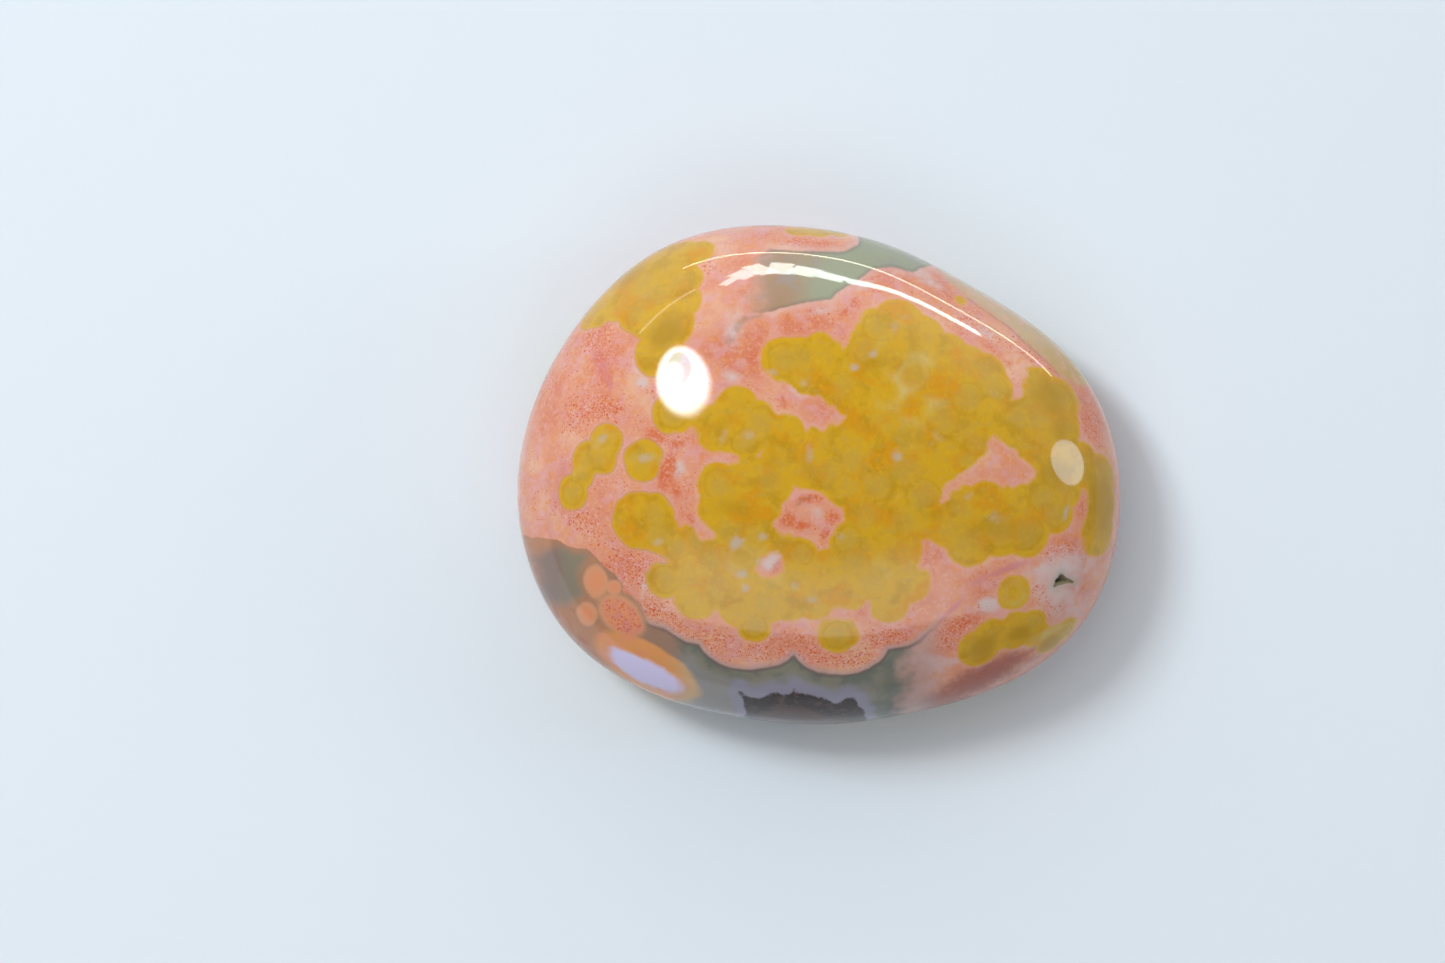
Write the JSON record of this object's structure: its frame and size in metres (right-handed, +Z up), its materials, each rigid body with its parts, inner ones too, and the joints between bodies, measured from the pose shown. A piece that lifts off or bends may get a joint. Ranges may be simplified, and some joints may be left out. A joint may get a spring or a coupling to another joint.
{
  "type": "ocean jasper cabochon",
  "caption": "Polished free-form stone with a low dome over a flat back, in gold orbs on speckled pink with bands of grey and lavender agate.",
  "frame": {"origin": "the middle of the flat back, under the middle of the outline's box", "axes": "+Z up out of the dome, +X along the longest side, +Y across it to the side with the long straight slope"},
  "size_m": [0.0339, 0.0281, 0.0124],
  "materials": {
    "polished_jasper": "high polish"
  },
  "bodies": {
    "root": {"jasper_cabochon": "polished_jasper"}
  },
  "joints": []
}
